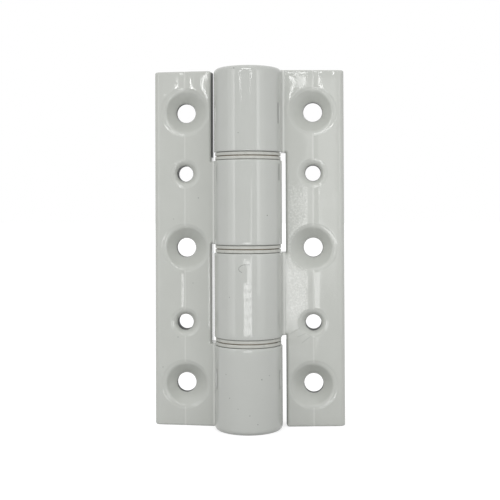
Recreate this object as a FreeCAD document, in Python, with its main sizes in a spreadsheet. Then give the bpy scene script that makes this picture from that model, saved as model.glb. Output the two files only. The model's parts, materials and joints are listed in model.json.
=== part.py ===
import FreeCAD, Part
import math
import os

import Sketcher

# Heavy butt hinge for folding doors, opened flat.
# The hinge axis is Z, half-way up is z = 0, and the screws go in along +Y from the viewer's side.
# Each leaf is one length of extrusion, a round barrel with a tapered plate beside it,
# milled away in two places so that the four knuckles of the two leaves stand between each other.

os.makedirs("parts", exist_ok=True)
doc = FreeCAD.newDocument("hinge")
sheet = doc.addObject("Spreadsheet::Sheet", "Sizes")

# The driving dimensions, in millimetres or degrees: alias, size, meaning
SIZES = [
    # Leaf and barrel
    ("leaf_height", 100.0, "length of the leaves and of the whole barrel"),
    ("barrel_radius", 9.45, "outer radius of the knuckles"),
    ("leaf_reach", 26.85, "hinge axis to the outer edge of a leaf"),
    ("face_offset", 1.17, "leaf front face behind the hinge axis, taken at the axis"),
    ("face_taper", 5.17, "angle at which the front face falls back to the outer edge"),
    ("back_step", 1.35, "barrel standing out behind the flat back of a leaf"),
    ("swing_gap", 0.97, "barrel to the inner edge of the other leaf"),
    ("outer_round", 1.5, "front rounding of the outer edge"),
    ("back_round", 0.6, "back rounding of the outer edge"),
    ("inner_round", 0.9, "front rounding of the inner edges in the notches"),
    ("root_round_front", 1.1, "hollow where a knuckle runs into the plate, front"),
    ("root_round_back", 1.6, "hollow where a knuckle runs into the plate, back"),
    ("end_bevel", 0.45, "bevel round the sawn ends of the plate"),
    ("barrel_end_round", 1.2, "free end of the barrel, rounded with a double bevel"),
    ("knuckle_edge", 0.2, "bevel on the knuckle ends that face a bush"),
    # Screw holes
    ("hole_line", 18.1, "hinge axis to the line of holes"),
    ("large_hole_radius", 2.7, "straight part of a large hole"),
    ("large_sink_radius", 6.0, "countersink of a large hole at the face"),
    ("large_hole_pitch", 38.4, "centre hole to the other large holes"),
    ("small_hole_radius", 2.2, "straight part of a small hole"),
    ("small_sink_radius", 3.45, "countersink of a small hole at the face"),
    ("small_hole_rise", 21.0, "mid height to each small hole"),
    ("line_width", 0.9, "drill guide line along the holes, width at the face"),
    ("line_depth", 0.3, "drill guide line along the holes, depth"),
    # Pin, bushes, washers and caps
    ("pin_radius", 5.0, "hinge pin"),
    ("pin_fit", 0.04, "running clearance of the pin in a bush, on the radius"),
    ("pin_press_gap", 0.01, "pin in its seat in the upper end knuckle, on the radius"),
    ("pin_free_gap", 0.3, "clearance of the pin in the lower end knuckle, on the radius"),
    ("bush_wall", 1.5, "wall of a bush"),
    ("bush_press_gap", 0.01, "bush and cap in their bore, on the radius"),
    ("sleeve_space", 1.72, "space between the two bushes in a knuckle"),
    ("sleeve_end_gap", 0.3, "end of a bush to the seat of the pin"),
    ("flange_inset", 0.35, "flange of a bush inside the outline of the barrel"),
    ("flange_height", 0.88, "flange of a bush"),
    ("flange_seat_gap", 0.12, "flange of a bush to the end of its knuckle"),
    ("washer_height", 0.2, "thrust washer between two flanges"),
    ("washer_inset", 0.45, "thrust washer inside the rim of a flange"),
    ("washer_gap", 0.02, "running clearance above and below a washer"),
    ("cap_height", 2.4, "end cap"),
    ("cap_drop", 0.2, "end cap below the end of the barrel"),
    ("pin_end_gap", 0.6, "end of the pin to the cap"),
]
for row, (alias, number, meaning) in enumerate(SIZES, 1):
    sheet.set("A%d" % row, meaning)
    sheet.set("B%d" % row, str(number))
    sheet.setAlias("B%d" % row, alias)
doc.recompute()

# Sizes that follow from the ones above
MID = "Sizes.leaf_height / 2"
FLANGE_FOOT = "(Sizes.flange_height + Sizes.flange_seat_gap)"
JOINT = "(2 * " + FLANGE_FOOT + " + Sizes.washer_height + 2 * Sizes.washer_gap)"
KNUCKLE = "((Sizes.leaf_height - 3 * " + JOINT + ") / 4)"
PITCH = "(" + KNUCKLE + " + " + JOINT + ")"
UPPER_KNUCKLE_FOOT = "(" + MID + " - " + KNUCKLE + ")"
LOWER_KNUCKLE_HEAD = "(-" + JOINT + " / 2)"
LOWER_KNUCKLE_FOOT = "(-" + JOINT + " / 2 - " + KNUCKLE + ")"
NOTCH_EDGE = "(Sizes.barrel_radius + Sizes.swing_gap)"
SLOPE = "tan(Sizes.face_taper * 1 deg)"
FACE_AT_AXIS = "(Sizes.face_offset / cos(Sizes.face_taper * 1 deg))"
FACE_AT_EDGE = "(" + FACE_AT_AXIS + " + Sizes.leaf_reach * " + SLOPE + ")"
FACE_AT_HOLES = "(" + FACE_AT_AXIS + " + Sizes.hole_line * " + SLOPE + ")"
BACK = "(Sizes.barrel_radius - Sizes.back_step)"
PLATE_ROOT = "(Sizes.barrel_radius * 0.15)"
FACE_AT_ROOT = "(" + FACE_AT_AXIS + " + " + PLATE_ROOT + " * " + SLOPE + ")"
BUSH_BORE = "(Sizes.pin_radius + Sizes.pin_fit)"
SLEEVE_OUT = "(" + BUSH_BORE + " + Sizes.bush_wall)"
BARREL_BORE = "(" + SLEEVE_OUT + " + Sizes.bush_press_gap)"
SLEEVE_LENGTH = "((" + KNUCKLE + " - Sizes.sleeve_space) / 2)"
FLANGE_OUT = "(Sizes.barrel_radius - Sizes.flange_inset)"
WASHER_OUT = "(" + FLANGE_OUT + " - Sizes.washer_inset)"
CAP_FLOOR = "(Sizes.cap_height + Sizes.cap_drop)"
PIN_HALF = "(" + MID + " - " + CAP_FLOOR + " - Sizes.pin_end_gap)"
END_HALFWAY = "(Sizes.barrel_end_round * (1 - sqrt(0.5)))"
CUT_PAST = "(Sizes.barrel_radius + 2)"


def value(text):
    """The number that an expression gives with the present sizes."""
    result = sheet.evalExpression(text)
    return float(getattr(result, "Value", result))


def new_body(label):
    body = doc.addObject("PartDesign::Body", label)
    body.Label = label
    return body


def origin_part(body, role):
    for feature in body.Origin.OriginFeatures:
        if feature.Role == role:
            return feature


def new_sketch(body, name, role, offset=None):
    """A sketch on one of the body's own planes, moved along the plane's normal if an offset is given."""
    sketch = body.newObject("Sketcher::SketchObject", name)
    sketch.AttachmentSupport = [(origin_part(body, role), "")]
    sketch.MapMode = "FlatFace"
    if offset is not None:
        sketch.setExpression("AttachmentOffset.Base.z", offset)
    return sketch


def bind(sketch, constraint, text):
    index = sketch.addConstraint(constraint)
    sketch.setExpression("Constraints[%d]" % index, text)


def place_point(sketch, geometry, end, across, along):
    """Fixes one point of a sketch at two distances from the sketch's origin."""
    for kind, text, axis in (("DistanceX", across, -2), ("DistanceY", along, -1)):
        if text == "0":
            sketch.addConstraint(Sketcher.Constraint("PointOnObject", geometry, end, axis))
        else:
            bind(sketch, Sketcher.Constraint(kind, -1, 1, geometry, end, value(text)), text)


def outline(sketch, corners):
    """A closed outline of straight lines through corners given as expressions."""
    points = [FreeCAD.Vector(value(x), value(y), 0) for x, y in corners]
    count = len(points)
    for index in range(count):
        sketch.addGeometry(Part.LineSegment(points[index], points[(index + 1) % count]), False)
    for index in range(count):
        following = (index + 1) % count
        sketch.addConstraint(Sketcher.Constraint("Coincident", index, 2, following, 1))
    for index, (x, y) in enumerate(corners):
        place_point(sketch, index, 1, x, y)


def circle(sketch, x, y, radius):
    centre = FreeCAD.Vector(value(x), value(y), 0)
    normal = FreeCAD.Vector(0, 0, 1)
    index = sketch.addGeometry(Part.Circle(centre, normal, value(radius)), False)
    place_point(sketch, index, 3, x, y)
    bind(sketch, Sketcher.Constraint("Radius", index, value(radius)), radius)


def grow(body, name, profile, length):
    pad = body.newObject("PartDesign::Pad", name)
    pad.Profile = profile
    pad.setExpression("Length", length)
    doc.recompute()
    return pad


def cut(body, name, profile, length, reverse=False):
    pocket = body.newObject("PartDesign::Pocket", name)
    pocket.Profile = profile
    pocket.Reversed = reverse
    pocket.setExpression("Length", length)
    return check_cut(body, pocket)


def turn_cut(body, name, profile, axis):
    groove = body.newObject("PartDesign::Groove", name)
    groove.Profile = profile
    groove.ReferenceAxis = axis
    groove.Angle = 360
    return check_cut(body, groove)


def check_cut(body, feature, earlier=None):
    """Every cut has to take material away."""
    doc.recompute()
    before = (earlier or feature.BaseFeature).Shape.Volume
    if feature.Shape.Volume > before - 1e-3:
        raise RuntimeError(body.Label + ": " + feature.Label + " cuts nothing")
    return feature


def repeat_up(body, name, feature, length, count):
    """Copies of a cut along the height, counted from the lowest."""
    pattern = body.newObject("PartDesign::LinearPattern", name)
    pattern.Originals = [feature]
    pattern.Direction = (origin_part(body, "Z_Axis"), [""])
    pattern.setExpression("Length", length)
    pattern.Occurrences = count
    body.Tip = pattern
    return check_cut(body, pattern, feature)


def edges_where(shape, test):
    names = []
    for index, edge in enumerate(shape.Edges):
        if test(edge):
            names.append("Edge%d" % (index + 1))
    return names


def soften(body, kind, name, base, test, amount, expected=None):
    """Fillet or chamfer on the edges that a test picks out."""
    names = edges_where(base.Shape, test)
    if not names or (expected is not None and len(names) != expected):
        raise RuntimeError("%s: %s finds %d edges" % (body.Label, name, len(names)))
    feature = body.newObject("PartDesign::" + kind, name)
    feature.Base = (base, names)
    feature.setExpression("Radius" if kind == "Fillet" else "Size", amount)
    doc.recompute()
    return feature


def near(a, b, tolerance=1e-3):
    return abs(a - b) < tolerance


def upright(edge):
    first = edge.Vertexes[0].Point
    last = edge.Vertexes[-1].Point
    return near(first.x, last.x) and near(first.y, last.y) and not near(first.z, last.z)


def stands_at(edge, x, y):
    point = edge.Vertexes[0].Point
    return upright(edge) and near(point.x, x) and near(point.y, y)


def level(edge, z):
    return near(edge.BoundBox.ZMin, z) and near(edge.BoundBox.ZMax, z)


def turn(body, name, profile):
    revolution = body.newObject("PartDesign::Revolution", name)
    revolution.Profile = profile
    revolution.ReferenceAxis = (profile, ["V_Axis"])
    revolution.Angle = 360
    doc.recompute()
    return revolution


def hollow(sketch, centre, rounding, on_barrel, on_face, inside):
    """A corner filled by an arc that is tangent to the barrel and to a face of the plate."""
    middle = FreeCAD.Vector(value(centre[0]), value(centre[1]), 0)
    start = FreeCAD.Vector(value(on_barrel[0]), value(on_barrel[1]), 0)
    end = FreeCAD.Vector(value(on_face[0]), value(on_face[1]), 0)
    deep = FreeCAD.Vector(value(inside[0]), value(inside[1]), 0)
    radius = value(rounding)
    angles = [math.atan2(point.y - middle.y, point.x - middle.x) for point in (start, end)]
    turned = (angles[1] - angles[0]) % (2 * math.pi) > math.pi
    first, last = (angles[1], angles[0]) if turned else angles
    round_line = Part.Circle(middle, FreeCAD.Vector(0, 0, 1), radius)
    arc = sketch.addGeometry(Part.ArcOfCircle(round_line, first, last), False)
    barrel_end, face_end = (2, 1) if turned else (1, 2)
    down = sketch.addGeometry(Part.LineSegment(end, deep), False)
    out = sketch.addGeometry(Part.LineSegment(deep, start), False)
    sketch.addConstraint(Sketcher.Constraint("Coincident", arc, face_end, down, 1))
    sketch.addConstraint(Sketcher.Constraint("Coincident", down, 2, out, 1))
    sketch.addConstraint(Sketcher.Constraint("Coincident", out, 2, arc, barrel_end))
    place_point(sketch, arc, 3, centre[0], centre[1])
    bind(sketch, Sketcher.Constraint("Radius", arc, radius), rounding)
    bind(sketch, Sketcher.Constraint("DistanceX", -1, 1, arc, face_end, end.x), on_face[0])
    bind(sketch, Sketcher.Constraint("DistanceY", -1, 1, arc, barrel_end, start.y), on_barrel[1])
    place_point(sketch, down, 2, inside[0], inside[1])


def root_hollows(sketch):
    """Front and back hollows between a knuckle and the plate."""
    r = "Sizes.root_round_front"
    lift = "(" + r + " - Sizes.face_offset)"
    along = "sqrt((Sizes.barrel_radius + " + r + ") ^ 2 - " + lift + " ^ 2)"
    tilt_x = "cos(Sizes.face_taper * 1 deg)"
    tilt_y = "sin(Sizes.face_taper * 1 deg)"
    centre_x = "(" + along + " * " + tilt_x + " + " + lift + " * " + tilt_y + ")"
    centre_y = "(" + along + " * " + tilt_y + " - " + lift + " * " + tilt_x + ")"
    share = "(Sizes.barrel_radius / (Sizes.barrel_radius + " + r + "))"
    foot_x = "(" + along + " * " + tilt_x + " - Sizes.face_offset * " + tilt_y + ")"
    foot_y = "(" + along + " * " + tilt_y + " + Sizes.face_offset * " + tilt_x + ")"
    hollow(sketch, (centre_x, centre_y), r, (centre_x + " * " + share, centre_y + " * " + share),
           (foot_x, foot_y), ("0.85 * Sizes.barrel_radius", foot_y))

    r = "Sizes.root_round_back"
    centre_y = "(" + BACK + " + " + r + ")"
    centre_x = "sqrt((Sizes.barrel_radius + " + r + ") ^ 2 - " + centre_y + " ^ 2)"
    share = "(Sizes.barrel_radius / (Sizes.barrel_radius + " + r + "))"
    hollow(sketch, (centre_x, centre_y), r, (centre_x + " * " + share, centre_y + " * " + share),
           (centre_x, BACK), (centre_x + " * " + share, "0.9 * " + BACK))


def make_leaf(label, pin_seat):
    """A leaf in the place of the right one: end knuckle at the top, second knuckle below the middle."""
    body = new_body(label)

    # The tapered plate, with its outer edge rounded more at the front
    section = new_sketch(body, label + "_plate_section", "XY_Plane", "-" + MID)
    outline(section, [
        (PLATE_ROOT, FACE_AT_ROOT),
        ("Sizes.leaf_reach", FACE_AT_EDGE),
        ("Sizes.leaf_reach", BACK),
        (PLATE_ROOT, BACK),
    ])
    plate = grow(body, label + "_plate", section, "Sizes.leaf_height")
    reach = value("Sizes.leaf_reach")
    back = value(BACK)
    face_at_edge = value(FACE_AT_EDGE)
    front_round = soften(body, "Fillet", label + "_outer_front", plate,
                         lambda edge: stands_at(edge, reach, face_at_edge), "Sizes.outer_round", 1)
    back_round = soften(body, "Fillet", label + "_outer_back", front_round,
                        lambda edge: stands_at(edge, reach, back), "Sizes.back_round", 1)

    # Its sawn ends, bevelled all round but for the root inside the barrel
    root = value(PLATE_ROOT)
    middle = value(MID)
    soften(body, "Chamfer", label + "_plate_ends", back_round,
           lambda edge: (level(edge, middle) or level(edge, -middle))
           and not near(edge.BoundBox.XMax, root), "Sizes.end_bevel", 10)

    # The barrel of the extrusion, with its free end rounded
    barrel_profile = new_sketch(body, label + "_barrel_profile", "XZ_Plane")
    outline(barrel_profile, [
        ("0", "-" + MID),
        ("Sizes.barrel_radius", "-" + MID),
        ("Sizes.barrel_radius", MID + " - Sizes.barrel_end_round"),
        ("Sizes.barrel_radius - " + END_HALFWAY, MID + " - " + END_HALFWAY),
        ("Sizes.barrel_radius - Sizes.barrel_end_round", MID),
        ("0", MID),
    ])
    turn(body, label + "_barrel", barrel_profile)

    # Two notches where the other leaf's knuckles turn
    notch_plan = new_sketch(body, label + "_notch_plan", "XZ_Plane", CUT_PAST)
    outline(notch_plan, [
        ("-" + CUT_PAST, LOWER_KNUCKLE_HEAD),
        (NOTCH_EDGE, LOWER_KNUCKLE_HEAD),
        (NOTCH_EDGE, UPPER_KNUCKLE_FOOT),
        ("-" + CUT_PAST, UPPER_KNUCKLE_FOOT),
    ])
    middle_notch = cut(body, label + "_middle_notch", notch_plan, "2 * " + CUT_PAST)
    foot_plan = new_sketch(body, label + "_foot_plan", "XZ_Plane", CUT_PAST)
    outline(foot_plan, [
        ("-" + CUT_PAST, "-" + MID + " - 2"),
        (NOTCH_EDGE, "-" + MID + " - 2"),
        (NOTCH_EDGE, LOWER_KNUCKLE_FOOT),
        ("-" + CUT_PAST, LOWER_KNUCKLE_FOOT),
    ])
    foot_notch = cut(body, label + "_foot_notch", foot_plan, "2 * " + CUT_PAST)

    # Rounded inner edges of the plate in the notches
    notch_edge = value(NOTCH_EDGE)
    face_at_notch = value(FACE_AT_AXIS) + notch_edge * value(SLOPE)
    inner = soften(body, "Fillet", label + "_inner_edges", foot_notch,
                   lambda edge: stands_at(edge, notch_edge, face_at_notch), "Sizes.inner_round", 2)

    # Bevelled knuckle ends that face a bush
    barrel_radius = value("Sizes.barrel_radius")
    faces_bush = [value(UPPER_KNUCKLE_FOOT), value(LOWER_KNUCKLE_HEAD), value(LOWER_KNUCKLE_FOOT)]
    bevels = soften(body, "Chamfer", label + "_knuckle_bevels", inner,
                    lambda edge: any(level(edge, z) for z in faces_bush)
                    and near(getattr(edge.Curve, "Radius", 0), barrel_radius), "Sizes.knuckle_edge", 3)

    # Hollows where the knuckles run into the plate
    lower_roots = new_sketch(body, label + "_lower_roots", "XY_Plane", LOWER_KNUCKLE_FOOT)
    root_hollows(lower_roots)
    grow(body, label + "_lower_hollows", lower_roots, KNUCKLE)
    upper_roots = new_sketch(body, label + "_upper_roots", "XY_Plane", UPPER_KNUCKLE_FOOT)
    root_hollows(upper_roots)
    grow(body, label + "_upper_hollows", upper_roots, KNUCKLE + " - Sizes.barrel_end_round")

    # Large countersunk holes, three in a line
    large_profile = new_sketch(body, label + "_large_profile", "XY_Plane", "-Sizes.large_hole_pitch")
    large_hole = hole(body, label + "_large_hole", large_profile,
                      "Sizes.large_hole_radius", "Sizes.large_sink_radius")
    large_holes = repeat_up(body, label + "_large_holes", large_hole, "2 * Sizes.large_hole_pitch", 3)

    # Small countersunk holes, two between them
    small_profile = new_sketch(body, label + "_small_profile", "XY_Plane", "-Sizes.small_hole_rise")
    small_hole = hole(body, label + "_small_hole", small_profile,
                      "Sizes.small_hole_radius", "Sizes.small_sink_radius")
    small_holes = repeat_up(body, label + "_small_holes", small_hole, "2 * Sizes.small_hole_rise", 2)

    # Drill guide line through the holes
    line_section = new_sketch(body, label + "_line_section", "XY_Plane", "-" + MID + " - 1")
    outline(line_section, [
        ("Sizes.hole_line", FACE_AT_HOLES + " + Sizes.line_depth"),
        ("Sizes.hole_line - Sizes.line_width", FACE_AT_HOLES + " - Sizes.line_depth"),
        ("Sizes.hole_line + Sizes.line_width", FACE_AT_HOLES + " - Sizes.line_depth"),
    ])
    line = cut(body, label + "_line", line_section, "Sizes.leaf_height + 2", True)

    # Stepped bore: bushes, the seat of the pin in the end knuckle, and the cap
    bore_profile = new_sketch(body, label + "_bore_profile", "XZ_Plane")
    seat_foot = UPPER_KNUCKLE_FOOT + " + " + SLEEVE_LENGTH + " + Sizes.sleeve_end_gap"
    outline(bore_profile, [
        ("0", "-" + MID),
        (BARREL_BORE, "-" + MID),
        (BARREL_BORE, seat_foot),
        (pin_seat, seat_foot),
        (pin_seat, MID + " - " + CAP_FLOOR),
        (BARREL_BORE, MID + " - " + CAP_FLOOR),
        (BARREL_BORE, MID + " + 1"),
        ("0", MID + " + 1"),
    ])
    bore = turn_cut(body, label + "_bore", bore_profile, (bore_profile, ["V_Axis"]))
    return body


def hole(body, name, profile, radius, sink_radius):
    """A hole with a right-angled countersink, turned about its own axis."""
    start = FACE_AT_HOLES + " - 1"
    sink_floor = FACE_AT_HOLES + " + " + sink_radius + " - " + radius
    outline(profile, [
        ("Sizes.hole_line", start),
        ("Sizes.hole_line + " + sink_radius + " + 1", start),
        ("Sizes.hole_line + " + radius, sink_floor),
        ("Sizes.hole_line + " + radius, BACK + " + 1"),
        ("Sizes.hole_line", BACK + " + 1"),
    ])
    axis_foot = FreeCAD.Vector(value("Sizes.hole_line"), 0, 0)
    axis_head = FreeCAD.Vector(value("Sizes.hole_line"), 1, 0)
    axis = profile.addGeometry(Part.LineSegment(axis_foot, axis_head), True)
    place_point(profile, axis, 1, "Sizes.hole_line", "0")
    profile.addConstraint(Sketcher.Constraint("Vertical", axis))
    profile.addConstraint(Sketcher.Constraint("Distance", axis, 1.0))
    return turn_cut(body, name, profile, (profile, ["Axis0"]))


def make_bush(label):
    """A flanged bush for a knuckle whose end is at z = 0: flange below, sleeve above."""
    body = new_body(label)
    profile = new_sketch(body, label + "_profile", "XZ_Plane")
    outline(profile, [
        (BUSH_BORE, "-" + FLANGE_FOOT),
        (FLANGE_OUT, "-" + FLANGE_FOOT),
        (FLANGE_OUT, "-Sizes.flange_seat_gap"),
        (SLEEVE_OUT, "-Sizes.flange_seat_gap"),
        (SLEEVE_OUT, SLEEVE_LENGTH),
        (BUSH_BORE, SLEEVE_LENGTH),
    ])
    turn(body, label + "_turned", profile)
    return body


def make_pin(label):
    body = new_body(label)
    profile = new_sketch(body, label + "_profile", "XZ_Plane")
    outline(profile, [
        ("0", "-" + PIN_HALF),
        ("Sizes.pin_radius", "-" + PIN_HALF),
        ("Sizes.pin_radius", PIN_HALF),
        ("0", PIN_HALF),
    ])
    turn(body, label + "_turned", profile)
    return body


def make_washer(label):
    body = new_body(label)
    plan = new_sketch(body, label + "_plan", "XY_Plane", "-Sizes.washer_height / 2")
    circle(plan, "0", "0", WASHER_OUT)
    circle(plan, "0", "0", BUSH_BORE)
    grow(body, label + "_disc", plan, "Sizes.washer_height")
    return body


def make_cap(label):
    """An end cap that closes the bore above z = 0."""
    body = new_body(label)
    profile = new_sketch(body, label + "_profile", "XZ_Plane")
    rim = "(" + BARREL_BORE + " - Sizes.bush_press_gap)"
    outline(profile, [
        ("0", "0"),
        (rim, "0"),
        (rim, "Sizes.cap_height"),
        ("0", "Sizes.cap_height"),
    ])
    turn(body, label + "_turned", profile)
    return body


def set_height(body, text, upside_down=False):
    """Puts a piece on the hinge axis, turned end for end where it faces down."""
    if upside_down:
        body.Placement.Rotation = FreeCAD.Rotation(FreeCAD.Vector(0, 1, 0), 180)
    body.setExpression("Placement.Base.z", text)


right_leaf = make_leaf("right_leaf", "(Sizes.pin_radius + Sizes.pin_press_gap)")
left_leaf = make_leaf("left_leaf", "(Sizes.pin_radius + Sizes.pin_free_gap)")
left_leaf.Placement.Rotation = FreeCAD.Rotation(FreeCAD.Vector(0, 1, 0), 180)

# Knuckles from the top: right, left, right, left
set_height(make_bush("bush_top_knuckle"), UPPER_KNUCKLE_FOOT)
set_height(make_bush("bush_second_upper"), "-" + LOWER_KNUCKLE_FOOT, True)
set_height(make_bush("bush_second_lower"), "-" + LOWER_KNUCKLE_HEAD)
set_height(make_bush("bush_third_upper"), LOWER_KNUCKLE_HEAD, True)
set_height(make_bush("bush_third_lower"), LOWER_KNUCKLE_FOOT)
set_height(make_bush("bush_bottom_knuckle"), "-" + UPPER_KNUCKLE_FOOT, True)

set_height(make_washer("washer_upper"), PITCH)
set_height(make_washer("washer_middle"), "0")
set_height(make_washer("washer_lower"), "-" + PITCH)

make_pin("hinge_pin")
set_height(make_cap("cap_top"), MID + " - " + CAP_FLOOR)
set_height(make_cap("cap_bottom"), "-" + MID + " + " + CAP_FLOOR, True)

doc.recompute()

for item in doc.Objects:
    if "Invalid" in item.State or "Error" in item.State:
        raise RuntimeError(item.Label + " did not build: " + str(item.State))

pieces = [item for item in doc.Objects if item.TypeId == "PartDesign::Body"]
for piece in pieces:
    if piece.Shape.isNull() or not piece.Shape.isValid() or len(piece.Shape.Solids) != 1:
        raise RuntimeError(piece.Label + " is not one sound solid")

for piece in pieces:
    piece.Shape.exportStep("parts/" + piece.Label + ".step")
    box = piece.Shape.BoundBox
    print("%-20s %9.1f mm3  x %.2f..%.2f  y %.2f..%.2f  z %.2f..%.2f" % (
        piece.Label, piece.Shape.Volume, box.XMin, box.XMax, box.YMin, box.YMax, box.ZMin, box.ZMax))
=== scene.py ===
import json
import math

import bmesh
import bpy
import numpy as np
import openvdb
from mathutils import Matrix, Vector

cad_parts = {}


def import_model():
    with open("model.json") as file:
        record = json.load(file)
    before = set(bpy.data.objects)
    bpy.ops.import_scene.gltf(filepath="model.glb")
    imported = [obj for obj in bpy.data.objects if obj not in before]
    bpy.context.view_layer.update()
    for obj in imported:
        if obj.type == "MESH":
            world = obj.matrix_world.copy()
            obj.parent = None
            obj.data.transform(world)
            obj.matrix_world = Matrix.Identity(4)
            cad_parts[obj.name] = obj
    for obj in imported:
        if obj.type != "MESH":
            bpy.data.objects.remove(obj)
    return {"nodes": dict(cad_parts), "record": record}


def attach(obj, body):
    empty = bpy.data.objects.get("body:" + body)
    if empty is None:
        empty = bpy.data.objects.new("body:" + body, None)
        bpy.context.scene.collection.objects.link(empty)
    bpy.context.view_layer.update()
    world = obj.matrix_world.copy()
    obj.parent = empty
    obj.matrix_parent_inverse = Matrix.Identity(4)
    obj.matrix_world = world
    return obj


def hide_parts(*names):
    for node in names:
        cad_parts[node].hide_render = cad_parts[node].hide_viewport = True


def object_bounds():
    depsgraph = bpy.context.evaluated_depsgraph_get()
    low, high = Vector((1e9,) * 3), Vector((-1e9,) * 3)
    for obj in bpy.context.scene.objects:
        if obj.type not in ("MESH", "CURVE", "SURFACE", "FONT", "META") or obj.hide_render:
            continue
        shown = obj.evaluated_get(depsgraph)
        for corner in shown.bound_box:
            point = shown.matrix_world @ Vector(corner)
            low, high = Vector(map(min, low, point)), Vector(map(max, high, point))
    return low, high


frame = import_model()
cad_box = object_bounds()
mm = 0.001
scene = bpy.context.scene

# A heavy butt hinge for folding doors, opened flat. The hinge axis is Z with mid height at 0,
# and the camera looks along +Y at the side with the barrel and the countersinks.

# Sizes of the hinge in millimetres, as its solids have them
HEIGHT = 50.0               # mid height to either end
JOINT_STEP = 2.24           # one knuckle to the next, filled by two flanges and a washer
PITCH = (2 * HEIGHT + JOINT_STEP) / 4
KNUCKLE = PITCH - JOINT_STEP
BARREL = 9.442
REACH = 26.85               # hinge axis to the outer edge of a leaf
NOTCH_EDGE = 10.42          # hinge axis to a leaf's edge beside the other leaf's knuckle
PLATE_ROOT = 1.4            # hinge axis to where the plate begins, inside the barrel
BACK = 8.1                  # hinge axis to the plane of the flat back
TAPER = math.radians(5.17)
FACE_AT_AXIS = 1.17 / math.cos(TAPER)
HOLE_LINE = 18.1
LARGE_HOLE, LARGE_SINK, LARGE_HEIGHTS = 2.7, 6.0, (-38.4, 0.0, 38.4)
SMALL_HOLE, SMALL_SINK, SMALL_HEIGHTS = 2.2, 3.45, (-21.0, 21.0)
PIN_SEAT, PIN_PASSAGE = 5.01, 5.3       # bore of the end knuckle in the right leaf and in the left one
BUSH_BORE = 6.55
SLEEVE_SPACE = 1.72         # between the two bushes of a knuckle
SLEEVE_GAP = 0.3            # end of a bush to the seat of the pin
CAP_DEPTH = 2.6             # end of the barrel to the foot of its cap


# Nodes ---------------------------------------------------------------------------------------

class Wire:
    """A socket's value, with Python's operators standing for Math nodes."""

    def __init__(self, nodes, socket):
        self.nodes = nodes
        self.socket = socket

    def _maths(self, operation, *values):
        return self.nodes.node("ShaderNodeMath", {"operation": operation}, dict(enumerate(values)))

    def __add__(self, other):
        return self._maths("ADD", self, other)

    def __mul__(self, other):
        return self._maths("MULTIPLY", self, other)

    def __sub__(self, other):
        return self._maths("SUBTRACT", self, other)

    def __rsub__(self, other):
        return self._maths("SUBTRACT", other, self)

    def __truediv__(self, other):
        return self._maths("DIVIDE", self, other)

    def __pow__(self, other):
        return self._maths("POWER", self, other)

    def __gt__(self, other):
        return self._maths("GREATER_THAN", self, other)

    def __lt__(self, other):
        return self._maths("LESS_THAN", self, other)

    __radd__ = __add__
    __rmul__ = __mul__

    def abs(self):
        return self._maths("ABSOLUTE", self)

    def exp(self):
        return self._maths("EXPONENT", self)

    def sine(self):
        return self._maths("SINE", self)

    def least(self, *others):
        lowest = self
        for other in others:
            lowest = self._maths("MINIMUM", lowest, other)
        return lowest

    def most(self, *others):
        highest = self
        for other in others:
            highest = self._maths("MAXIMUM", highest, other)
        return highest


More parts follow.
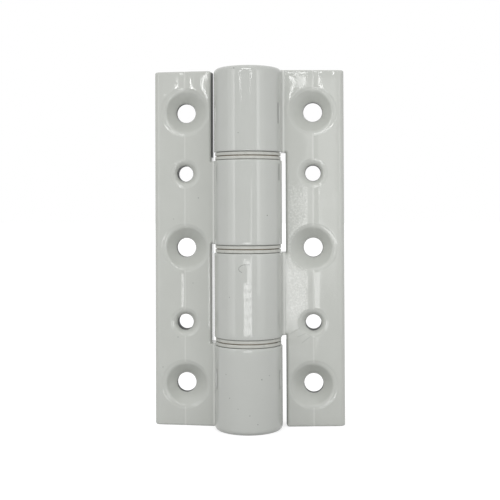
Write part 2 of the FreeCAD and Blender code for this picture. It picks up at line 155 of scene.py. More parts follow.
class Nodes:
    """Builds the node tree of a material, of the world, or of a Geometry Nodes modifier."""

    def __init__(self, tree):
        self.tree = tree
        self.tree.nodes.clear()

    def node(self, kind, settings=None, sockets=None, output=0):
        """Adds a node. Output None gives the node itself, in place of one of its outputs."""
        made = self.tree.nodes.new(kind)
        for key, setting in (settings or {}).items():
            setattr(made, key, setting)
        for key, given in (sockets or {}).items():
            for one in given if isinstance(given, list) else [given]:
                if isinstance(one, Wire):
                    self.tree.links.new(one.socket, made.inputs[key])
                else:
                    made.inputs[key].default_value = one
        if output is None:
            return made
        return Wire(self, made.outputs[output])

    def place(self):
        """Where a point lies on the object, in metres."""
        return self.node("ShaderNodeTexCoord", output="Object")

    def split(self, vector, scale=1.0):
        """The three parts of a vector, each times the scale."""
        made = self.node("ShaderNodeSeparateXYZ", None, {0: vector}, output=None)
        parts = [Wire(self, socket) for socket in made.outputs]
        return parts if scale == 1.0 else [part * scale for part in parts]

    def vector(self, operation, *values, output="Vector", **sockets):
        return self.node("ShaderNodeVectorMath", {"operation": operation},
                         {**dict(enumerate(values)), **sockets}, output)

    def noise(self, place, size, detail):
        """Soft random pattern whose lumps are about the given size in millimetres."""
        return self.node("ShaderNodeTexNoise", None, {
            "Vector": place, "Scale": 1.0 / (size * mm), "Detail": detail, "Roughness": 0.5}, "Fac")

    def ramp(self, value, low, high, start=0.0, end=1.0):
        """Goes over softly from start to end while the value runs from low to high."""
        return self.node("ShaderNodeMapRange", {"interpolation_type": "SMOOTHSTEP"}, {
            "Value": value, "From Min": low, "From Max": high, "To Min": start, "To Max": end}, "Result")

    def fade(self, value, low, high):
        """1 up to low, 0 from high on."""
        return self.ramp(value, low, high, 1.0, 0.0)

    def band(self, value, start, full, ending, end):
        """1 from full to ending, 0 before start and past end."""
        return self.ramp(value, start, full) * self.fade(value, ending, end)

    def bell(self, value, width):
        """1 where the value is 0, falling off to both sides."""
        share = value / width
        return (share * share * -1.0).exp()

    def mix(self, share, first, second):
        """One colour going over into another."""
        made = self.node("ShaderNodeMix", {"data_type": "RGBA"}, {"Factor": share}, output=None)
        for name, given in (("A", first), ("B", second)):
            socket = [s for s in made.inputs if s.name == name and s.type == "RGBA"][0]
            if isinstance(given, Wire):
                self.tree.links.new(given.socket, socket)
            else:
                socket.default_value = (*given, 1.0)
        return Wire(self, [s for s in made.outputs if s.type == "RGBA"][0])

    def bump(self, height):
        """A surface normal from a height in millimetres."""
        return self.node("ShaderNodeBump", None, {"Height": height, "Distance": mm}, "Normal")

    def from_point(self, place, point):
        """How far a place is from a point that is given in millimetres, in metres."""
        return self.vector("DISTANCE", place, Vector(point) * mm, output="Value")

    def from_lines(self, place, lines):
        """How far a place is from the nearest of several straight lines, in metres."""
        offs = []
        for start, end in lines:
            start, end = Vector(start) * mm, Vector(end) * mm
            run = end - start
            off = self.vector("SUBTRACT", place, start)
            share = self.vector("DOT_PRODUCT", off, run / run.length_squared, output="Value")
            share = share.most(0.0).least(1.0)
            foot = self.vector("SCALE", run, Scale=share)
            offs.append(self.vector("DISTANCE", off, foot, output="Value"))
        return offs[0].least(*offs[1:])

    def surface(self, sockets):
        """Ends a material in a shader, given by its sockets."""
        self.finish(self.node("ShaderNodeBsdfPrincipled", None, sockets))

    def seen(self):
        """1 for what the camera, a reflection or clear glass sees, 0 for what only lights the object."""
        ray = self.node("ShaderNodeLightPath", output=None)
        camera, *others = [Wire(self, ray.outputs["Is %s Ray" % kind])
                           for kind in ("Camera", "Glossy", "Transmission")]
        return camera.most(*others)

    def finish(self, shader, target="ShaderNodeOutputMaterial"):
        self.node(target, None, {"Surface": shader}, output=None)


def material(name):
    made = bpy.data.materials.new(name)
    made.use_nodes = True
    return made, Nodes(made.node_tree)


def srgb(*levels):
    """A colour given as 0 to 255 on the screen, as linear light."""
    return tuple(((v / 255 + 0.055) / 1.055) ** 2.4 if v > 10.3 else v / 255 / 12.92 for v in levels)


# Materials ----------------------------------------------------------------------------------

# What lies in or on the coat, and painted dark reflections, in millimetres. Grit is given by its place and
# radius, the rest by
# the ends of lines: one curled fibre, four scuffs by the lower small hole and four painted dark reflection
# streaks on the barrel's sides.
SPECKS = (
    (-3.19, -8.90, 49.14, 0.26), (-2.06, -9.22, 31.57, 0.20), (5.68, -7.55, 9.23, 0.24),
    (-4.57, -8.27, -12.88, 0.18), (-5.68, -7.55, -33.81, 0.18), (4.09, -8.52, -34.94, 0.24),
    (6.12, -7.20, -34.06, 0.16), (-4.67, -8.22, -40.04, 0.18), (-2.33, -9.16, -42.78, 0.17),
    (0.88, -9.41, -44.51, 0.18), (2.99, -8.96, -46.94, 0.20), (8.82, -3.40, -45.39, 0.20),
    (-14.23, 2.46, 14.12, 0.20), (-21.36, 3.11, 8.18, 0.16), (-20.18, 3.00, -25.17, 0.20),
    (-15.82, 2.61, -9.89, 0.16), (-24.54, 3.39, -33.72, 0.18))
FIBRE = (
    (0.84, -9.41, -4.01), (-0.29, -9.45, -3.95), (-1.24, -9.37, -4.22), (-1.92, -9.25, -4.74),
    (-2.03, -9.23, -5.25), (-1.76, -9.28, -5.76), (-1.19, -9.38, -6.08))
SCUFFS = (
    ((11.48, 2.21, -24.07), (14.28, 2.47, -22.42)), ((14.82, 2.52, -26.61), (17.34, 2.74, -24.68)),
    ((13.6, 2.4, -24.9), (15.94, 2.62, -23.9)), ((16.2, 2.64, -24.1), (18.6, 2.86, -25.6)))
# Painted dark reflections: streaks on the sides of the barrel, given by the ends of lines
DARK_REFLECTIONS = (
    ((8.6, -3.9, 34.8), (8.6, -3.9, 39.8)), ((8.8, -3.45, 19.2), (8.8, -3.45, 23.0)),
    ((-8.45, -4.2, -38.1), (-8.45, -4.2, -33.2)), ((8.8, -3.4, -38.1), (8.8, -3.4, -33.5)))

# Colours of the coat, as levels on the screen. Besides the coat's own colours they hold painted light: a
# lighter plate, pale highlights, dark reflections and dark wall shade
COAT = {
    "barrel": (182, 184, 180), "plate": (187, 189, 184), "cloud": (172, 174, 168), "guide_ridge_and_highlight": (212, 213, 209),
    "grit": (78, 82, 78), "fibre": (112, 114, 110), "scuff": (140, 143, 138), "dark_reflection": (120, 122, 119),
    "painted_glint": (234, 235, 231), "corner": (228, 229, 225), "painted_wall_shade": (52, 54, 52)}
COAT_ROUGH, WALL_ROUGH, SCUFF_ROUGH = 0.045, 0.6, 0.25      # the last is added to the first
BARREL_SIDE, PLATE_START = 9.2, 11.5    # hinge axis to where the barrel's look ends and the plate's begins
CORNER = 9.88                           # hinge axis to the corner between barrel and plate

# Where painted glints stand in for the grain catching the light: where this begins, is full, begins to end
# and has ended
PAINTED_GLINT_ACROSS, PAINTED_GLINT_UP = (10.6, 11.6, 16.2, 16.8), (-22, -17, 15, 20)

# Thickness of the coat in millimetres. Lumps are given by size and height, the swellings round the
# countersinks by rim to crest, width inside, width outside and height.
PEEL, GRAIN = (0.9, 0.024), (0.38, 0.013)
LARGE_SWELL, SMALL_SWELL = (1.0, 0.4, 4.0, 0.12), (0.85, 0.35, 3.0, 0.08)
GUIDE_RISE, EDGE_RISE, END_DROP = 0.02, 0.015, 0.05


def coat_material():
    """Gloss powder coat: orange peel, thicker at the rims, with grit, a fibre and scuffs, and painted
    highlights, painted dark reflections and painted shade.
    """
    made, s = material("leaf_powder_coat")
    place = s.place()
    x, y, z = s.split(place, 1 / mm)
    reach, height = x.abs(), z.abs()
    plate = s.ramp(reach, BARREL_SIDE, PLATE_START)
    front = plate * (y < 5.0)

    # How far a point is from the line of holes and from the holes' axes
    line = reach - HOLE_LINE
    across = line * line
    far, middle, small = [(across + (height - at) * (height - at)) ** 0.5
                          for at in (LARGE_HEIGHTS[-1], 0.0, SMALL_HEIGHTS[-1])]
    large = far.least(middle)
    clear = (large > LARGE_SINK + 0.3) * (small > SMALL_SINK + 0.3) * front
    # The guide line: a low ridge in the coat, and where the painted highlight goes
    guide_ridge_and_highlight = s.bell(line, 0.2) * clear

    def over(tone, share, name):
        return s.mix(share, tone, srgb(*COAT[name]))

    # A cloudy grey, with a painted highlight along the guide line
    # The plate is painted a shade lighter than the barrel, as painted light on its flat faces
    tone = over(srgb(*COAT["barrel"]), plate, "plate")
    tone = over(tone, s.ramp(s.noise(place, 7, 3), 0.35, 0.65, 0.0, 0.12), "cloud")
    tone = over(tone, guide_ridge_and_highlight * 0.4, "guide_ridge_and_highlight")

    # Grit, the fibre, the scuffs, and painted dark reflection streaks on the barrel's sides
    grit = s.noise(place, 0.12, 1) - 0.5
    first, *others = [
        s.fade(s.from_point(place, at) + grit * (radius * 1.2 * mm), radius * 0.35 * mm, radius * mm)
        for *at, radius in SPECKS]
    tone = over(tone, first.most(*others) * 0.62, "grit")
    fibre = s.fade(s.from_lines(place, zip(FIBRE, FIBRE[1:])), 0.03 * mm, 0.16 * mm)
    tone = over(tone, fibre * 0.6, "fibre")
    scuff = s.fade(s.from_lines(place, SCUFFS) + grit * (0.3 * mm), 0.02 * mm, 0.2 * mm)
    tone = over(tone, scuff * 0.4, "scuff")
    tone = over(tone, s.ramp(s.from_lines(place, DARK_REFLECTIONS), 0.15 * mm, 0.7 * mm, 0.5, 0.0), "dark_reflection")

    # Painted glints on the inner half of the right plate, standing in for the grain of the coat catching
    # the light
    painted_glint_zone = s.band(x, *PAINTED_GLINT_ACROSS) * s.band(z, *PAINTED_GLINT_UP)
    tone = over(tone, s.ramp(s.noise(place, 0.5, 3), 0.4, 0.7) * painted_glint_zone * clear * 0.3, "painted_glint")

    # A painted highlight: a pale line in the corner between barrel and plate, where the rounded corner
    # catches the light
    tone = over(tone, s.bell(reach - CORNER, 0.26) * (y > 1.2) * (y < 4.0) * 0.5, "corner")

    # Painted shade: the walls of the holes and of the open notches are painted dark, and made rougher
    wall = s.fade((far - LARGE_HOLE).least(middle - LARGE_HOLE, small - SMALL_HOLE), 0.02, 0.14)
    notch = s.fade((reach - NOTCH_EDGE).abs(), 0.10, 0.24)
    notch = notch * (height > PITCH) * (x * z < 0.0) * (y > 2.3)
    painted_wall_shade = (wall * (reach > 12.0)).most(notch)
    tone = over(tone, painted_wall_shade, "painted_wall_shade")

    # Orange peel, coarser on the middle of the right plate
    coarse = s.ramp(x, 9.5, PLATE_START) * s.fade(height, 24.0, 36.0) * 0.9 + 0.1

    def lumps(size, rise):
        return (s.noise(place, size, 1) - 0.5) * rise * coarse

    def swelling(off, crest_at, inside, outside, rise):
        """A ridge whose two sides have their own widths."""
        off = off - crest_at
        return s.bell(off.least(0.0) / inside + off.most(0.0) / outside, 1.0) * rise

    # The coat swells round the countersinks and near the edges, and thins at the ends of the knuckles
    swell = swelling(large - LARGE_SINK, *LARGE_SWELL) + swelling(small - SMALL_SINK, *SMALL_SWELL)
    edge = s.bell(HEIGHT - 2.0 - height, 0.9) + s.bell(REACH - 2.4 - reach, 0.7)
    first, *others = [(height - end).abs()
                      for end in (JOINT_STEP / 2, PITCH - JOINT_STEP / 2, PITCH + JOINT_STEP / 2)]
    droop = s.bell(first.least(*others), 0.55) * (1.0 - plate)
    thick = lumps(*PEEL) + lumps(*GRAIN) + guide_ridge_and_highlight * GUIDE_RISE
    thick = thick + (swell + edge * EDGE_RISE) * front - droop * END_DROP

    rough = s.ramp(painted_wall_shade, 0.0, 1.0, COAT_ROUGH, WALL_ROUGH) + scuff * SCUFF_ROUGH
    s.surface({"Base Color": tone, "Roughness": rough, "IOR": 1.5, "Normal": s.bump(thick)})
    return made


def moulded_material(name, colour, rough):
    """Moulded plastic with fine turning lines and a cloudy tone."""
    made, s = material(name)
    place = s.place()
    x, y, _ = s.split(place, 1 / mm)
    cloud = s.noise(place, 1.4, 4)
    tone = s.mix(s.ramp(cloud, 0.3, 0.7), srgb(*[v - 7 for v in colour]), srgb(*colour))
    turning = (((x * x + y * y) ** 0.5) * 40.0).sine()
    height = turning * 0.0012 + (s.noise(place, 0.25, 2) - 0.5) * 0.006
    s.surface({"Base Color": tone, "Roughness": s.ramp(cloud, 0.3, 0.7, rough * 0.85, rough * 1.15),
               "Normal": s.bump(height)})
    return made


def turned_metal(name, colour, rough):
    """Metal with ground rings across its length and a patchy, slightly darkened tone."""
    made, s = material(name)
    place = s.place()
    _, _, z = s.split(place, 1 / mm)
    cloud = s.noise(place, 0.9, 4)
    tone = s.mix(s.ramp(cloud, 0.35, 0.7), srgb(*[v * 0.8 for v in colour]), srgb(*colour))
    rings = s.node("ShaderNodeTexNoise", {"noise_dimensions": "1D"},
                   {"W": z, "Scale": 9.0, "Detail": 3.0}, "Fac")
    s.surface({"Base Color": tone, "Roughness": s.ramp(cloud, 0.3, 0.7, rough * 0.8, rough * 1.2),
               "Metallic": 1.0, "Normal": s.bump((rings - 0.5) * 0.004)})
    return made


finishes = {
    "leaf_coat": coat_material(),
    "bush_plastic": moulded_material("bush_moulding", (184, 185, 179), 0.32),
    "cap_plastic": moulded_material("cap_moulding", (182, 184, 178), 0.38),
    "pin_steel": turned_metal("pin_ground_steel", (190, 190, 190), 0.28),
    "washer_bronze": turned_metal("washer_dull_bronze", (140, 124, 104), 0.5),
}
for part in frame["record"]["subparts"]:
    mesh = frame["nodes"][part["node"]].data
    mesh.materials.clear()
    mesh.materials.append(finishes[part["material_slot"]])


# Leaves --------------------------------------------------------------------------------------

# Roundings of the coated leaf in millimetres
OUTER_ROUND, BACK_ROUND = 1.5, 0.6      # outer edge, front and back
END_ROUND = 1.2                         # free end of the barrel
SAWN_ROUND = 0.5                        # sawn ends of the plate
ROOT_FILL, ROOT_FILL_BEHIND = 1.1, 0.5  # corner between barrel and plate, and what is added behind
NOTCH_ROUND, NOTCH_ROUND_FRONT = 0.3, 0.6   # edges of the notches, and what is added in front
NOTCH_CORNER = 0.2
BORE_ROUND = 0.2
RIM_ROUND = 0.4                         # rim of a countersink
SINK_FOOT = 0.4                         # where a countersink runs into its hole
SINK_REACH = 1                          # how far past its rim a countersink's cone goes on
GUIDE_DEPTH, GUIDE_WIDTH, GUIDE_SOFT = 0.19, 1.6, 0.15      # the hollow along the holes, under the coat

# The mesh of a leaf
CELL = 0.5                  # side of a cell of the first, even mesh
MARGIN = 0.8                # room round the leaf in the block of cells
FAR_OUTSIDE = 3.0           # distance that a cell outside the block stands for
BEND_LIMIT = 14             # degrees between the ends of an edge before it is halved
SHORTEST = 0.16             # shortest edge that is halved
HALVINGS = 2
FIRST_MOVES, LATER_MOVES = 8, 4         # rounds in which the points settle on the surface
PROBE = 0.01                # step over which a slope is measured
LONGEST_MOVE = 0.12         # furthest that a point moves in one round
MOVE_SHARE = 0.9            # of the way that the slope points to
LEAST_STEEP = 0.2           # keeps a move short where two surfaces meet and the slope is small


def both_rounded(first, second, radius):
    """What lies inside both shapes, with the edge between them rounded."""
    corner = np.hypot(np.maximum(first + radius, 0), np.maximum(second + radius, 0))
    return np.minimum(np.maximum(first, second), -radius) + corner


def either_rounded(first, second, radius):
    """What lies inside one shape or the other, with the corner between them filled."""
    return -both_rounded(-first, -second, radius)


def ease(value, low, high):
    """Goes over softly from 0 to 1 while the value runs from low to high."""
    share = np.clip((value - low) / (high - low), 0, 1)
    return share * share * (3 - 2 * share)


def leaf_distance(point, pin_bore):
    """How far a point lies outside the coated right leaf, in millimetres."""
    x, y, z = point[..., 0], point[..., 1], point[..., 2]
    from_axis = np.hypot(x, y)
    past_end = np.abs(z) - HEIGHT

    # Plate and barrel
    face = (FACE_AT_AXIS + x * math.tan(TAPER) - y) * math.cos(TAPER)
    slope = np.clip(1 - np.abs(x - HOLE_LINE) / GUIDE_WIDTH, 0, 1)
    face = face + GUIDE_DEPTH * (np.hypot(slope, GUIDE_SOFT) - GUIDE_SOFT)
    plate = both_rounded(face, x - REACH, OUTER_ROUND)
    plate = both_rounded(plate, y - BACK, BACK_ROUND)
    plate = both_rounded(plate, PLATE_ROOT - x, 0.1)
    plate = both_rounded(plate, past_end, SAWN_ROUND)
    barrel = both_rounded(from_axis - BARREL, z - HEIGHT, END_ROUND)
    leaf = either_rounded(plate, barrel, ROOT_FILL + ROOT_FILL_BEHIND * ease(y, 3, 6))
    leaf = np.maximum(leaf, past_end)

    # The notches where the other leaf's knuckles turn, the lower one open at the end
    edge = NOTCH_ROUND + NOTCH_ROUND_FRONT * ease(-y, -6, -4) * ease(x, 9.7, 10.3)
    for low, high in ((-JOINT_STEP / 2, HEIGHT - KNUCKLE), (-HEIGHT - 5, -JOINT_STEP / 2 - KNUCKLE)):
        notch = both_rounded(x - NOTCH_EDGE, np.maximum(low - z, z - high), NOTCH_CORNER)
        leaf = both_rounded(leaf, -notch, edge)

    # The bore, wide for bushes and caps and narrower between them in the end knuckle
    narrow_from = HEIGHT - KNUCKLE + (KNUCKLE - SLEEVE_SPACE) / 2 + SLEEVE_GAP
    narrow = np.maximum(narrow_from - z, z - (HEIGHT - CAP_DEPTH))
    bore = np.minimum(from_axis - pin_bore, np.maximum(from_axis - BUSH_BORE, -narrow))
    leaf = both_rounded(leaf, -bore, BORE_ROUND)

    # The countersunk holes
    for radius, sink, heights in ((LARGE_HOLE, LARGE_SINK, LARGE_HEIGHTS),
                                  (SMALL_HOLE, SMALL_SINK, SMALL_HEIGHTS)):
        foot = FACE_AT_AXIS + HOLE_LINE * math.tan(TAPER) + sink - radius
        for height in heights:
            off = np.hypot(x - HOLE_LINE, z - height)
            cone = np.maximum((off - radius - (foot - y)) * math.sqrt(0.5), off - sink - SINK_REACH)
            hole = either_rounded(off - radius, cone, SINK_FOOT)
            leaf = both_rounded(leaf, -hole, RIM_ROUND)
    return leaf


def slopes_at(points, pin_bore):
    """How steeply the distance grows along each axis, at each point."""
    slopes = np.empty_like(points)
    for axis in range(3):
        shift = np.zeros(3)
        shift[axis] = PROBE
        rise = leaf_distance(points + shift, pin_bore) - leaf_distance(points - shift, pin_bore)
        slopes[:, axis] = rise / (2 * PROBE)
    return slopes


def directions_at(points, pin_bore):
    """The outward direction of the surface at each point."""
    slopes = slopes_at(points, pin_bore)
    return slopes / np.maximum(np.linalg.norm(slopes, axis=1), 1e-6)[:, None]


def settle(points, pin_bore, rounds):
    """Moves points on to the surface of the leaf, in short steps."""
    for _ in range(rounds):
        slopes = slopes_at(points, pin_bore)
        steep = np.maximum((slopes * slopes).sum(1), LEAST_STEEP)
        move = slopes * (leaf_distance(points, pin_bore) / steep)[:, None] * MOVE_SHARE
        length = np.linalg.norm(move, axis=1)
        points = points - move * np.minimum(1, LONGEST_MOVE / np.maximum(length, 1e-9))[:, None]
    return points


def even_mesh(name, pin_bore):
    """The coated right leaf with faces of one size, in millimetres."""
    low = np.array([-BARREL - MARGIN, -BARREL - MARGIN, -HEIGHT - MARGIN])
    high = np.array([REACH + MARGIN, BARREL + MARGIN, HEIGHT + MARGIN])
    steps = [start + CELL * np.arange(int((stop - start) / CELL) + 2)
             for start, stop in zip(low, high)]
    block = np.stack(np.meshgrid(*steps, indexing="ij"), -1)
    volume = openvdb.FloatGrid(FAR_OUTSIDE)
    volume.copyFromArray(leaf_distance(block, pin_bore).astype(np.float32))
    points, _, quads = volume.convertToPolygons(0.0, 0.0)
    points = settle(points * CELL + low, pin_bore, FIRST_MOVES)
    mesh = bpy.data.meshes.new(name)
    mesh.from_pydata(points.tolist(), [], quads.tolist())
    return mesh


def halve_bent_edges(shape, pin_bore):
    """Halves each edge over which the surface bends, and settles all points again."""
    points = np.array([v.co for v in shape.verts])
    aim = directions_at(points, pin_bore)
    shape.verts.index_update()
    ends = np.array([(e.verts[0].index, e.verts[1].index) for e in shape.edges])
    bend = (aim[ends[:, 0]] * aim[ends[:, 1]]).sum(1)
    length = np.linalg.norm(points[ends[:, 0]] - points[ends[:, 1]], axis=1)
    bent = (bend < math.cos(math.radians(BEND_LIMIT))) & (length > SHORTEST)
    shape.edges.ensure_lookup_table()
    chosen = [shape.edges[index] for index in np.flatnonzero(bent)]
    bmesh.ops.subdivide_edges(shape, edges=chosen, cuts=1, use_grid_fill=True)
    bmesh.ops.triangulate(shape, faces=[f for f in shape.faces if len(f.verts) > 4])
    points = settle(np.array([v.co for v in shape.verts]), pin_bore, LATER_MOVES)
    for vert, point in zip(shape.verts, points):
        vert.co = point


def leaf_surface(name, pin_bore, turned):
    """The coated leaf as a closed mesh, finer where it bends. The left one is turned end for end."""
    mesh = even_mesh(name, pin_bore)
    shape = bmesh.new()
    shape.from_mesh(mesh)
    for _ in range(HALVINGS):
        halve_bent_edges(shape, pin_bore)
    if shape.calc_volume(signed=True) < 0:
        bmesh.ops.reverse_faces(shape, faces=shape.faces[:])
    shape.to_mesh(mesh)
    shape.free()
    points = np.array([v.co for v in mesh.vertices])
    normals = directions_at(points, pin_bore)
    if turned:
        points = points * (-1, 1, -1)
        normals = normals * (-1, 1, -1)
    mesh.vertices.foreach_set("co", (points * mm).ravel())
    mesh.polygons.foreach_set("use_smooth", [True] * len(mesh.polygons))
    mesh.normals_split_custom_set_from_vertices(normals.tolist())
    return mesh


def add_piece(mesh, body, slot, nodes):
    """Puts a finished mesh on its body, in place of the solids' nodes."""
    made = bpy.data.objects.new(mesh.name, mesh)
    scene.collection.objects.link(made)
    mesh.materials.clear()
    mesh.materials.append(finishes[slot])
    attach(made, body)
    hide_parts(*nodes)
    print(mesh.name, "triangles", sum(len(f.vertices) - 2 for f in mesh.polygons))


for side, pin_bore, turned in (("right", PIN_SEAT, False), ("left", PIN_PASSAGE, True)):
    add_piece(leaf_surface(side + "_leaf_coated", pin_bore, turned),
              side + "_leaf_group", "leaf_coat", [side + "_leaf"])


# Bushes and washers ---------------------------------------------------------------------------

UP, DOWN = False, True      # which way a bush's sleeve points, DOWN being turned over
SEATS = (PITCH, 0, -PITCH)  # heights of the three joints between knuckles
ROUND_STEPS = 160           # facets round a ring
BUSH = {"Bore": 5.04, "Flange": 9.1, "Sleeve": 6.54, "Foot": 0.12, "Head": 1.0, "Length": 11.92,
        "Edge": 0.14}
WASHER = {"Bore": 5.04, "Flange": 8.65, "Foot": -0.1, "Head": 0.1, "Edge": 0.04}
WELD = 0.002                # points closer than this are one
SHARP = 40                  # degrees from which an edge stays sharp


def ring_tree(name, labels, sleeved):
    """A tree that puts a turned ring on each seat, with a sleeve on it for a bush."""
    tree = bpy.data.node_groups.new(name + "_tree", "GeometryNodeTree")
    face = tree.interface
    face.new_socket("Seats", in_out="INPUT", socket_type="NodeSocketGeometry")
    given = {label: face.new_socket(label, in_out="INPUT", socket_type="NodeSocketFloat")
             for label in labels}
    given["Finish"] = face.new_socket("Finish", in_out="INPUT", socket_type="NodeSocketMaterial")
    face.new_socket("Rings", in_out="OUTPUT", socket_type="NodeSocketGeometry")
    g = Nodes(tree)
    enter = g.node("NodeGroupInput", output=None)
    size = {label: Wire(g, enter.outputs[label]) for label in (*labels, "Seats", "Finish")}

    def ring(inner, outer, low, high):
        section = g.node("GeometryNodeCurvePrimitiveQuadrilateral", None,
                         {"Width": outer - inner, "Height": high - low})
        section = g.node("GeometryNodeFilletCurve", {"mode": "POLY"},
                         {"Curve": section, "Count": 3, "Radius": size["Edge"]})
        path = g.node("GeometryNodeCurvePrimitiveCircle", None,
                      {"Resolution": ROUND_STEPS, "Radius": (outer + inner) * 0.5})
        swept = g.node("GeometryNodeCurveToMesh", None, {"Curve": path, "Profile Curve": section})
        lift = g.node("ShaderNodeCombineXYZ", None, {"Z": (high + low) * 0.5})
        return g.node("GeometryNodeTransform", None, {"Geometry": swept, "Translation": lift})

    rings = [ring(size["Bore"], size["Flange"], size["Foot"], size["Head"])]
    if sleeved:
        rings.append(ring(size["Bore"], size["Sleeve"], size["Head"] - size["Edge"], size["Length"]))
    joined = g.node("GeometryNodeJoinGeometry", None, {"Geometry": rings})
    turned = g.node("GeometryNodeInputNamedAttribute", {"data_type": "FLOAT"},
                    {"Name": "turned"}, "Attribute")
    turn = g.node("ShaderNodeCombineXYZ", None, {"X": turned * math.pi})
    turn = g.node("FunctionNodeEulerToRotation", None, {"Euler": turn})
    placed = g.node("GeometryNodeInstanceOnPoints", None,
                    {"Points": size["Seats"], "Instance": joined, "Rotation": turn})
    real = g.node("GeometryNodeRealizeInstances", None, {"Geometry": placed})
    real = g.node("GeometryNodeSetMaterial", None, {"Geometry": real, "Material": size["Finish"]})
    g.node("NodeGroupOutput", None, {"Rings": real}, output=None)
    return tree, given


def turned_rings(name, sizes, ways, slot, sleeved):
    """One mesh with a turned piece at each of the three joints. Sizes are in millimetres."""
    seats = bpy.data.meshes.new(name + "_seats")
    seats.from_pydata([(0, 0, height * mm) for height in SEATS], [], [])
    seats.attributes.new("turned", "FLOAT", "POINT").data.foreach_set(
        "value", [float(way) for way in ways])
    holder = bpy.data.objects.new(name + "_seats", seats)
    scene.collection.objects.link(holder)
    rings = holder.modifiers.new("rings", "NODES")
    rings.node_group, given = ring_tree(name, sizes, sleeved)
    for label, length in sizes.items():
        rings[given[label].identifier] = length * mm
    rings[given["Finish"].identifier] = finishes[slot]
    bpy.context.view_layer.update()
    mesh = bpy.data.meshes.new_from_object(holder.evaluated_get(bpy.context.evaluated_depsgraph_get()))
    bpy.data.objects.remove(holder)
    mesh.name = name

    shape = bmesh.new()
    shape.from_mesh(mesh)
    bmesh.ops.remove_doubles(shape, verts=shape.verts, dist=WELD * mm)
    bmesh.ops.recalc_face_normals(shape, faces=shape.faces)
    for edge in shape.edges:
        edge.smooth = edge.calc_face_angle(0) < math.radians(SHARP)
    for f in shape.faces:
        f.smooth = True
    shape.to_mesh(mesh)
    shape.free()
    return mesh


for side, ways, nodes in (
        ("right", (UP, DOWN, UP), ("bush_top_knuckle", "bush_third_upper", "bush_third_lower")),
        ("left", (DOWN, UP, DOWN), ("bush_second_upper", "bush_second_lower", "bush_bottom_knuckle"))):
    add_piece(turned_rings("bushes_" + side, BUSH, ways, "bush_plastic", True),
              side + "_leaf_group", "bush_plastic", nodes)
add_piece(turned_rings("thrust_washers", WASHER, (UP, UP, UP), "washer_bronze", False),
          "right_leaf_group", "washer_bronze", ("washer_upper", "washer_middle", "washer_lower"))


# Floor, light and camera --------------------------------------------------------------------

WHITE = (1, 1, 1, 1)
FLOOR_HALF = 3.0            # metres
FLOOR_GREY = (0.42, 0.42, 0.42, 1)
FLOOR_LIFT = 0.72           # added where the floor is seen, so that it comes out white
SKY_LEVEL, SKY_ABOVE, SKY_FRONT = 0.66, 0.42, 0.10      # the world's light, and more of it on two sides
PANEL_AWAY = 205            # hinge axis to the front panels, in millimetres
WINDOW_AWAY, WINDOW_TOP = 190, 110

# What the gloss of the coat mirrors. Panels stand upright before the hinge: name, left and right
# edge, low and high edge in millimetres, strength, and the distance where it isn't the usual one.
RIBS = [("desk_strip_%d" % rib, -43, 54, -48.2 + 4 * rib, -45.4 + 4 * rib, 6.3) for rib in range(6)]
PANELS = (
    ("desk_strip_upper", -1.5, 54, -24.8, -16.2, 4),
    ("desk_strip_head", -44.6, 54, -15.6, -14.4, 8),
    ("desk_strip_foot", -44.6, 54, -49.9, -48.9, 8),
    ("desk_side", 49.5, 56.0, -14.0, 23.6, 4),
    ("desk_side_low", 45, 49.5, -14.0, 6, 3.5),
    ("head_left", -90.0, -88.4, 71.5, 92, 20),
    ("head_left_patch", -82.0, -80, 69, 88, 18),
    ("head_left_line", -70.2, -68.6, 62, 92, 17),
    ("head_left_bar", -89, -86, 90.5, 92, 12),
    ("head_right", 40.2, 42.8, 64, 86, 10),
    ("head_right_patch", 44.5, 50, 76, 88, 5),
    ("head_right_line", 50.2, 51.6, 67, 88, 14),
    ("head_right_edge", 61.0, 62.6, 71, 92, 20),
    ("head_right_bar", 43.5, 55, 90, 91.5, 12),
    ("head_bar", -65, 40, 103, 127, 9),
    ("side_glow", 23.3, 36, -16, 54, 1.0, 40))
# Windows stand to the side: name, the angles of their edges from straight ahead, low edge, strength
WINDOWS = (
    ("window_left", -66, -40, -49, 0.6),
    ("window_left_middle", -52, -40, -49, 0.5),
    ("window_left_edge", -46, -40, -5, 1.2),
    ("window_right", 33, 60, -49, 0.5),
    ("window_right_edge", 33, 40, -5, 0.8))

# The photograph's camera: where it stands in millimetres, how it is turned in degrees,
# its focal length in pixels of the 500 pixel frame, and how far the frame is shifted
CAMERA_AT = (17.083, -267.454, 12.051)
TURN, TILT, ROLL = (math.radians(v) for v in (3.537, 0.8252, -0.2158))
FOCAL_PIXELS, FRAME_PIXELS, SHIFT = 961.05, 500, -0.11759
SENSOR = 36.0


def floor():
    """A plain pale sheet under the standing hinge, white to the camera and in reflections."""
    mesh = bpy.data.meshes.new("floor")
    low = cad_box[0][2]
    corners = ((-1, -1), (1, -1), (1, 1), (-1, 1))
    mesh.from_pydata([(x * FLOOR_HALF, y * FLOOR_HALF, low) for x, y in corners], [], [(0, 1, 2, 3)])
    made = bpy.data.objects.new("floor", mesh)
    scene.collection.objects.link(made)
    paper, s = material("floor_white")
    sheet = s.node("ShaderNodeBsdfDiffuse", None, {"Color": FLOOR_GREY})
    lift = s.node("ShaderNodeEmission", None, {"Color": WHITE, "Strength": s.seen() * FLOOR_LIFT})
    s.finish(s.node("ShaderNodeAddShader", None, {0: sheet, 1: lift}))
    mesh.materials.append(paper)


def world():
    """White where it is seen, and soft light from all round, most from above and the front."""
    sky = bpy.data.worlds.new("studio")
    scene.world = sky
    sky.use_nodes = True
    s = Nodes(sky.node_tree)
    seen = s.seen()
    _, y, z = s.split(s.node("ShaderNodeTexCoord", output="Generated"))
    light = z * SKY_ABOVE - y * SKY_FRONT + SKY_LEVEL
    strength = seen + (1.0 - seen) * light
    s.finish(s.node("ShaderNodeBackground", None, {"Color": WHITE, "Strength": strength}),
             "ShaderNodeOutputWorld")


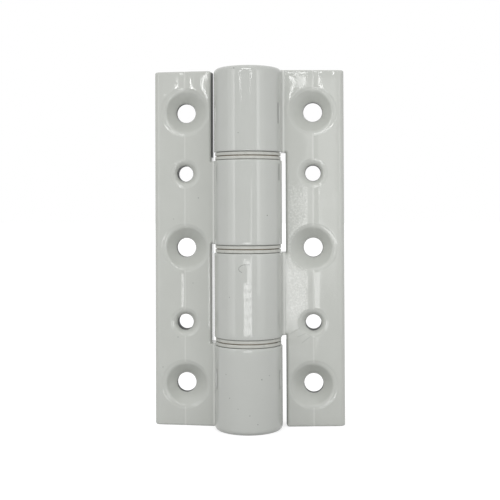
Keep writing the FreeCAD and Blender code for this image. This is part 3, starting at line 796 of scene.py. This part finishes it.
def lamp(name, middle, turn, width, height, strength):
    """A soft upright lamp, turned about the vertical. Sizes are in millimetres. Strength 1 is white."""
    data = bpy.data.lights.new(name, "AREA")
    data.shape = "RECTANGLE"
    data.size, data.size_y = width * mm, height * mm
    data.energy = strength * data.size * data.size_y * math.pi
    made = bpy.data.objects.new(name, data)
    made.location = Vector(middle) * mm
    made.rotation_euler = (math.radians(90), 0, turn)
    made.visible_camera = False
    scene.collection.objects.link(made)


def front_panel(name, left, right, low, high, strength, away=PANEL_AWAY):
    """A lamp in an upright plane before the hinge, by its edges across and up."""
    lamp(name, ((left + right) / 2, -away, (low + high) / 2), 0, right - left, high - low, strength)


def window(name, left, right, low, strength):
    """A tall soft lamp between two angles to the side, as seen from the axis."""
    turn = math.radians((left + right) / 2)
    width = 2 * WINDOW_AWAY * math.tan(math.radians(right - left) / 2)
    middle = (WINDOW_AWAY * math.sin(turn), -WINDOW_AWAY * math.cos(turn), (low + WINDOW_TOP) / 2)
    lamp(name, middle, turn, width, WINDOW_TOP - low, strength)


def camera():
    """The photograph's camera, from its place and its three turns."""
    right = Vector((math.cos(TURN), math.sin(TURN), 0))
    ahead = Vector((-math.sin(TURN), math.cos(TURN), 0))
    up = Vector((0, 0, 1))
    forward = math.cos(TILT) * ahead + math.sin(TILT) * up
    level = -math.sin(TILT) * ahead + math.cos(TILT) * up
    side = math.cos(ROLL) * right + math.sin(ROLL) * level
    above = -math.sin(ROLL) * right + math.cos(ROLL) * level
    data = bpy.data.cameras.new("camera")
    data.sensor_width = SENSOR
    data.lens = SENSOR * FOCAL_PIXELS / FRAME_PIXELS
    data.shift_y = SHIFT
    data.clip_start = 0.01
    data.clip_end = 50
    made = bpy.data.objects.new("camera", data)
    turned = Matrix((side, above, -forward)).transposed().to_4x4()
    turned.translation = Vector(CAMERA_AT) * mm
    made.matrix_world = turned
    scene.collection.objects.link(made)
    scene.camera = made


camera()
floor()
world()
for panel in (*RIBS, *PANELS):
    front_panel(*panel)
for pane in WINDOWS:
    window(*pane)
scene.view_settings.view_transform = "Standard"
